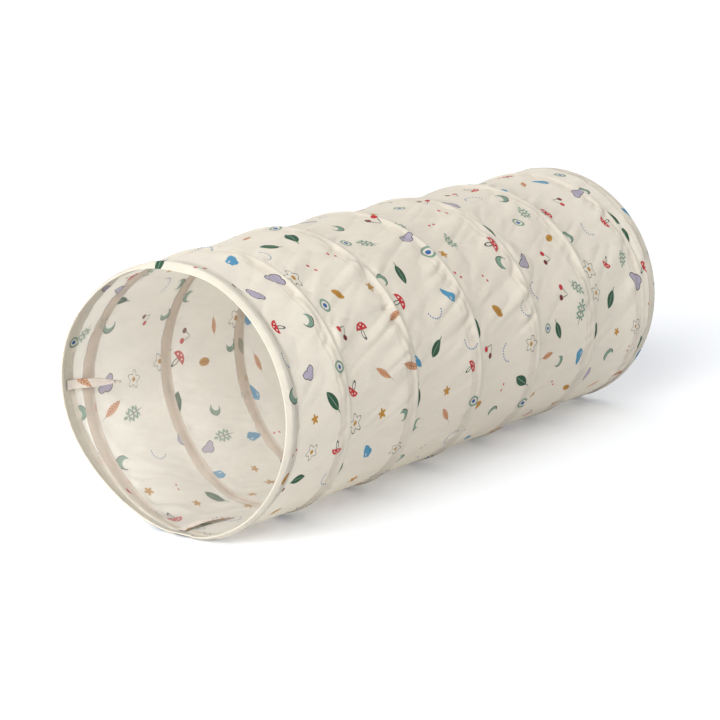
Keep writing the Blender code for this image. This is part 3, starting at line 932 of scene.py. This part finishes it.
def oval(x, y, place, half, turn=0.0):
    """Above 0 inside an oval, about the distance to its edge in millimetres."""
    cosine, sine = math.cos(turn), math.sin(turn)
    shift_x = -(place[0] * cosine + place[1] * sine) / half[0]
    shift_y = -(place[1] * cosine - place[0] * sine) / half[1]
    along = x.scaled(cosine / half[0], y.scaled(sine / half[0], shift_x))
    across = x.scaled(-sine / half[1], y.scaled(cosine / half[1], shift_y))
    squares = along.scaled(along, across * across)
    return squares.scaled(-min(half) / 2, min(half) / 2)


def leaf(x, y, half_width, half_length):
    """A pointed leaf along y, where two circles cross."""
    radius = (half_length**2 + half_width**2) / (2 * half_width)
    beyond = x.size() + (radius - half_width)
    squares = beyond.scaled(beyond, y * y)
    return squares.scaled(-0.5 / radius, radius / 2)


def motifs(x, y):
    """The small drawings of the print, each a list of (field, colour) painted in order."""
    mirrored = x.size()
    round_it = y.work("ARCTAN2", x)
    far = x.scaled(x, y * y).work("SQRT")
    five = (round_it * 5).work("COSINE")
    disc = oval(x, y, (0, 0), (7.6, 7.6))
    pairs = y.work("PINGPONG", 3.0)
    cap = oval(x, y, (0, 0.5), (8.5, 7.5)).least(y - 0.5)
    puff = (
        oval(mirrored, y, (5.5, -1.5), (5.2, 4.4))
        .most(oval(x, y, (0.5, 2.2), (6.2, 5.4)))
        .least(y + 4.5)
    )
    drop = oval(x, y, (0, -3.5), (5.4, 5.6)).most(leaf(x, y, 4.2, 11.0))
    return [
        [
            (oval(x, y, (0, -12.0), (0.6, 5.0)), GREEN),
            (leaf(x, y, 5.6, 12.5), GREEN),
            (oval(x, y, (0, 0), (0.45, 10.5)), SAGE),
        ],
        [
            (oval(x, y, (0, -2.0), (0.45, 12.0)), INK),
            (
                oval(mirrored, pairs, (3.6, 1.5), (3.6, 1.0), 0.5).least(
                    oval(x, y, (0, 0), (9.5, 9.5))
                ),
                SAGE,
            ),
            (oval(x, y, (0, 11.0), (1.5, 2.6)), SAGE),
        ],
        [
            (drop, SKY),
            (oval(x, y, (-2.3, -4.0), (0.7, 2.2), -0.3), CHALK),
        ],
        [
            (oval(x, y, (0, 0), (4.4, 7.8), 0.35), MUSTARD),
            (oval(x, y, (0, 0), (0.4, 6.0), 0.35), OCHRE),
        ],
        [
            (disc.least(-oval(x, y, (4.2, 2.4), (6.4, 6.4))), SAGE),
            ((disc.size() * -1 + 0.42).least(x * -1 + 2.4), INK),
        ],
        [
            (oval(mirrored, y, (4.0, 0), (1.9, 1.3), 0.5), RED),
        ],
        [
            (oval(x, y, (0, -3.6), (1.9, 5.4)).size().scaled(-1, 0.40), INK),
            (cap, RED),
            (oval(mirrored, y, (3.8, 3.4), (1.1, 1.0)).most(oval(x, y, (0, 5.6), (1.1, 0.9))), CHALK),
        ],
        [
            ((far - five.scaled(2.2, 8.2)).size().scaled(-1, 0.42), INK),
            (far.scaled(-1, 2.7), MUSTARD),
        ],
        [
            ((far - five.scaled(1.5, 4.6)) * -1, MUSTARD),
        ],
        [
            (
                (far - 10.5).size().scaled(-1, 0.75)
                .least((round_it * 22).work("COSINE") * 1.5)
                .least(y - 1.5),
                OCEAN,
            ),
        ],
        [
            (puff, LILAC),
            (puff.size().scaled(-1, 0.36), INK),
        ],
        [
            (oval(mirrored, y, (2.9, 4.0), (0.4, 5.8), 0.55), INK),
            (oval(x, y, (-5.6, -2.0), (3.1, 3.1)), RED),
            (oval(x, y, (5.6, -2.0), (3.1, 3.1)), WINE),
        ],
        [
            (leaf(x, y, 3.6, 12.0), PEACH),
            (
                (y + mirrored * 0.8).work("PINGPONG", 1.6).scaled(-1, 0.45).least(
                    leaf(x, y, 3.6, 12.0)
                ),
                TAN,
            ),
            (oval(x, y, (0, -2.0), (0.35, 14.0)), TAN),
        ],
        [
            ((far - 5.6).size().scaled(-1, 1.1), SAGE),
            (far.scaled(-1, 2.4), OCEAN),
        ],
    ]


def print_group():
    """The cloth's print: small drawings scattered over flat cloth that is measured in metres."""
    tree, given, made = new_group(
        "cloth_print", [("Flat Cloth", "Vector")], [("Ink", "Color"), ("Cover", "Float")]
    )
    cells = tree.nodes.new("ShaderNodeTexVoronoi")
    cells.voronoi_dimensions = "2D"
    cells.inputs["Scale"].default_value = 1 / MOTIF_SPACING
    cells.inputs["Randomness"].default_value = MOTIF_RANDOMNESS
    scaled = tree.nodes.new("ShaderNodeVectorMath")
    scaled.operation = "SUBTRACT"
    tree.links.new(given.outputs["Flat Cloth"], cells.inputs["Vector"])
    tree.links.new(given.outputs["Flat Cloth"], scaled.inputs[0])
    tree.links.new(cells.outputs["Position"], scaled.inputs[1])
    parts = tree.nodes.new("ShaderNodeSeparateXYZ")
    tree.links.new(scaled.outputs[0], parts.inputs[0])
    chance = tree.nodes.new("ShaderNodeSeparateColor")
    tree.links.new(cells.outputs["Color"], chance.inputs[0])
    turn = Field(tree, chance.outputs[0]) * (2 * math.pi)
    size = Field(tree, chance.outputs[2]).scaled(MOTIF_SCALE_SPREAD, MOTIF_SCALE)
    cosine, sine = turn.work("COSINE") * size, turn.work("SINE") * size
    flat_x, flat_y = Field(tree, parts.outputs[0]), Field(tree, parts.outputs[1])
    x = flat_x.scaled(cosine, flat_y * sine)
    y = flat_y.scaled(cosine, flat_x * sine * -1)
    drawings = motifs(x, y)
    choice = Field(tree, chance.outputs[1]) * len(drawings)
    ink, cover = None, None
    for number, layers in enumerate(drawings):
        chosen = choice.work("COMPARE", number + 0.5, 0.5)
        for field, colour in layers:
            share = field.work("MULTIPLY_ADD", INK_EDGE, 0.5, clamp=True) * chosen
            cover = share if cover is None else cover.most(share)
            ink = colour_mix(tree, share.socket, colour if ink is None else ink, colour)
    tree.links.new(ink, made.inputs["Ink"])
    tree.links.new(cover.socket, made.inputs["Cover"])
    return tree


def weave_group():
    """Plain weave and soft creases: a height in metres, and painted shade near 1 that darkens the
    colour where threads and creases lie low.
    """
    tree, given, made = new_group(
        "cotton_weave",
        [("Flat Cloth", "Vector"), ("Crease", "Float")],
        [("Height", "Float"), ("Painted Shade", "Float")],
    )
    parts = tree.nodes.new("ShaderNodeSeparateXYZ")
    tree.links.new(given.outputs["Flat Cloth"], parts.inputs[0])
    warp = (Field(tree, parts.outputs[0]) * (2 * math.pi / THREAD_PITCH)).work("SINE")
    weft = (Field(tree, parts.outputs[1]) * (2 * math.pi / THREAD_PITCH)).work("SINE")
    crease = Field(tree, given.outputs["Crease"])
    heights = []
    for scale, stretch, turn, detail in CREASES:
        spot = tree.nodes.new("ShaderNodeMapping")
        spot.inputs["Rotation"].default_value = (0, 0, turn)
        spot.inputs["Scale"].default_value = (1, stretch, 1)
        cloud = tree.nodes.new("ShaderNodeTexNoise")
        cloud.noise_dimensions = "2D"
        cloud.inputs["Scale"].default_value = scale
        cloud.inputs["Detail"].default_value = detail
        cloud.inputs["Distortion"].default_value = 0.4
        tree.links.new(given.outputs["Flat Cloth"], spot.inputs["Vector"])
        tree.links.new(spot.outputs["Vector"], cloud.inputs["Vector"])
        heights.append(Field(tree, cloud.outputs["Fac"]))
    threads = warp * weft
    small, large = CREASE_HEIGHTS
    folds = heights[0].scaled(small, heights[1] * large) * crease
    tree.links.new(threads.scaled(THREAD_HEIGHT, folds).socket, made.inputs["Height"])
    # Painted shade that follows the bump: darker where the threads and the large creases lie low
    tone = heights[1].scaled(CREASE_SHADE, threads.scaled(THREAD_SHADE, LOWEST_TONE))
    tree.links.new(tone.socket, made.inputs["Painted Shade"])
    return tree


def place_group(tree, group, **links):
    node = tree.nodes.new("ShaderNodeGroup")
    node.node_tree = group
    for socket, source in links.items():
        tree.links.new(source, node.inputs[socket.replace("_", " ")])
    return node


def cotton(name, groups, colour, ink_share, crease, let_through):
    """Thin woven cotton that glows a little when lit from behind."""
    material, tree, shader = new_material(name)
    flat = tree.nodes.new("ShaderNodeUVMap")
    flat.uv_map = "flat_cloth"
    weave = place_group(tree, groups["weave"], Flat_Cloth=flat.outputs["UV"])
    weave.inputs["Crease"].default_value = crease
    # The cloth's colour times the weave's painted shade
    base = colour_mix(tree, 1, colour, weave.outputs["Painted Shade"], "MULTIPLY")
    printed = place_group(tree, groups["print"], Flat_Cloth=flat.outputs["UV"])
    cover = Field(tree, printed.outputs["Cover"]) * ink_share
    painted = colour_mix(tree, cover.socket, base, printed.outputs["Ink"])
    bump = tree.nodes.new("ShaderNodeBump")
    bump.inputs["Distance"].default_value = 1.0
    tree.links.new(weave.outputs["Height"], bump.inputs["Height"])
    tree.links.new(painted, shader.inputs["Base Color"])
    tree.links.new(bump.outputs["Normal"], shader.inputs["Normal"])
    shader.inputs["Roughness"].default_value = 0.82
    shader.inputs["Specular IOR Level"].default_value = 0.25
    shader.inputs["Sheen Weight"].default_value = 0.12
    shader.inputs["Sheen Roughness"].default_value = 0.5
    glow = tree.nodes.new("ShaderNodeBsdfTranslucent")
    tree.links.new(painted, glow.inputs["Color"])
    tree.links.new(bump.outputs["Normal"], glow.inputs["Normal"])
    both = tree.nodes.new("ShaderNodeMixShader")
    both.inputs["Fac"].default_value = let_through
    tree.links.new(shader.outputs["BSDF"], both.inputs[1])
    tree.links.new(glow.outputs["BSDF"], both.inputs[2])
    tree.links.new(both.outputs["Shader"], tree.nodes["Material Output"].inputs["Surface"])
    return material


def streaked(name, colour, roughness, grain, metallic=1):
    """Drawn steel or spun thread, faintly streaked."""
    material, tree, shader = new_material(name)
    place = tree.nodes.new("ShaderNodeTexCoord")
    cloud = tree.nodes.new("ShaderNodeTexNoise")
    cloud.inputs["Scale"].default_value = grain
    cloud.inputs["Detail"].default_value = 4
    tree.links.new(place.outputs["Object"], cloud.inputs["Vector"])
    streaks = Field(tree, cloud.outputs["Fac"])
    dark = tuple(STREAK_SHADE * share for share in colour)
    tree.links.new(colour_mix(tree, streaks.socket, dark, colour), shader.inputs["Base Color"])
    rough = streaks.scaled(STREAK_ROUGHNESS, roughness)
    tree.links.new(rough.socket, shader.inputs["Roughness"])
    bump = tree.nodes.new("ShaderNodeBump")
    bump.inputs["Distance"].default_value = STREAK_HEIGHT
    tree.links.new(streaks.socket, bump.inputs["Height"])
    tree.links.new(bump.outputs["Normal"], shader.inputs["Normal"])
    shader.inputs["Metallic"].default_value = metallic
    return material


def dress(piece, replaced, body="front_end", flattens=True):
    """Gives a finished piece its body and hides the frame's part that it stands for."""
    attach(piece, body)
    if flattens:
        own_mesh(piece)
    if replaced:
        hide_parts(replaced)


def main():
    groups = {"print": print_group(), "weave": weave_group()}
    outside = cotton("printed_cotton", groups, CREAM, ink_share=0.95, crease=0.6, let_through=0.57)
    inside = cotton("cotton_back", groups, LINING_CREAM, ink_share=0.55, crease=0.5, let_through=0.56)
    taped = cotton("casing_tape", groups, TAPE_CREAM, ink_share=0.25, crease=0.4, let_through=0.50)
    tied = cotton("tie_cotton", groups, TAPE_CREAM, ink_share=0.90, crease=0.6, let_through=0.35)
    steel = streaked("spring_steel", SPRING_STEEL, roughness=0.24, grain=420)
    crimped = streaked("crimped_steel", CRIMPED_STEEL, roughness=0.34, grain=260)
    thread = streaked("cream_thread", THREAD_CREAM, roughness=0.55, grain=900, metallic=0)
    strip_length = round_cloth(1)
    for number in range(1, TURNS + 2):
        panel = cloth_panel(number, [outside, inside])
        dress(panel, f"cloth_panel_{number}")
        area = PITCH * strip_length
        if number in (1, TURNS + 1):
            area = END_AREA_SHARE * area
    for number in range(1, TURNS + 1):
        piece = casing_tape(number, [taped, taped])
        dress(piece, f"wire_casing_{number}")
        dress(seam_stitches(number, thread), None)
    dress(spring_coil(steel), "spring_wire")
    for side, end, body in (("front", -1, "front_end"), ("rear", 1, "rear_end")):
        piece = hem_band(f"{side}_hem_band", end, [outside, inside])
        dress(piece, f"{side}_hem", body, False)
        threads = hem_stitches(f"{side}_hem_stitches", end, thread)
        dress(threads, None, body, False)
        dress(hoop(f"{side}_hoop_wire", end, steel), f"{side}_hoop", body, False)
        sleeve = crimp_sleeve(f"{side}_crimp_sleeve", end, crimped)
        dress(sleeve, f"{side}_ferrule", body, False)
    for name, *shape in TIES:
        strap = tie_strap(f"{name}_strap", *shape, [tied, tied])
        dress(strap, name, name, False)
        area = TIE_AREA_SHARE * TIE_WIDTH * 2 * TIE_LENGTH


def seen_directly(tree):
    """1 where the camera sees a surface, itself or in a reflection or through glass."""
    path = tree.nodes.new("ShaderNodeLightPath")
    return (
        Field(tree, path.outputs["Is Camera Ray"])
        .most(Field(tree, path.outputs["Is Glossy Ray"]))
        .most(Field(tree, path.outputs["Is Transmission Ray"]))
    )


def floor_material():
    """Pale floor that shows white to the camera and in reflections, but keeps its shadow."""
    material, tree, shader = new_material("pale_floor")
    shader.inputs["Base Color"].default_value = (*FLOOR_COLOUR, 1)
    shader.inputs["Roughness"].default_value = 0.9
    shader.inputs["Specular IOR Level"].default_value = 0.0
    shader.inputs["Emission Strength"].default_value = 1
    lift = colour_mix(tree, seen_directly(tree).socket, (0, 0, 0), FLOOR_LIFT)
    tree.links.new(lift, shader.inputs["Emission Color"])
    return material


def white_world():
    """Soft light from all round, and plain white where the camera looks past the floor."""
    world = bpy.data.worlds.new("studio")
    world.use_nodes = True
    bpy.context.scene.world = world
    tree = world.node_tree
    background = tree.nodes["Background"]
    background.inputs["Strength"].default_value = 1
    tone = colour_mix(tree, seen_directly(tree).socket, FILL_COLOUR, (1, 1, 1))
    tree.links.new(tone, background.inputs["Color"])


def studio():
    bpy.ops.mesh.primitive_plane_add(size=FLOOR_SIZE)
    floor = bpy.context.object
    floor.name = "floor"
    floor.data.materials.append(floor_material())
    camera_data = bpy.data.cameras.new("camera")
    camera_data.sensor_width = SENSOR_WIDTH
    camera_data.lens = CAMERA_LENS
    camera = put("camera", camera_data)
    camera.location = CAMERA_PLACE
    look = Vector(
        (
            -math.sin(CAMERA_AZIMUTH) * math.cos(CAMERA_PITCH),
            math.cos(CAMERA_AZIMUTH) * math.cos(CAMERA_PITCH),
            -math.sin(CAMERA_PITCH),
        )
    )
    camera.rotation_euler = look.to_track_quat("-Z", "Y").to_euler()
    bpy.context.scene.camera = camera
    bpy.context.scene.view_settings.view_transform = "Standard"
    for name, azimuth, height, power, spread in LAMPS:
        lamp_data = bpy.data.lights.new(name, "SUN")
        lamp_data.energy = power
        lamp_data.angle = spread
        lamp_data.color = LAMP_COLOUR
        put(name, lamp_data).rotation_euler = (math.pi / 2 - height, 0, azimuth)
    lamp_data = bpy.data.lights.new("near", "AREA")
    lamp_data.size = NEAR_LAMP_SIZE
    lamp_data.energy = NEAR_LAMP_POWER
    lamp = put("near", lamp_data)
    lamp.location = NEAR_LAMP_PLACE
    away = Vector(NEAR_LAMP_PLACE) - Vector((0, NEAR_END, AXIS_HEIGHT))
    lamp.rotation_euler = away.to_track_quat("Z", "Y").to_euler()
    white_world()


main()
studio()
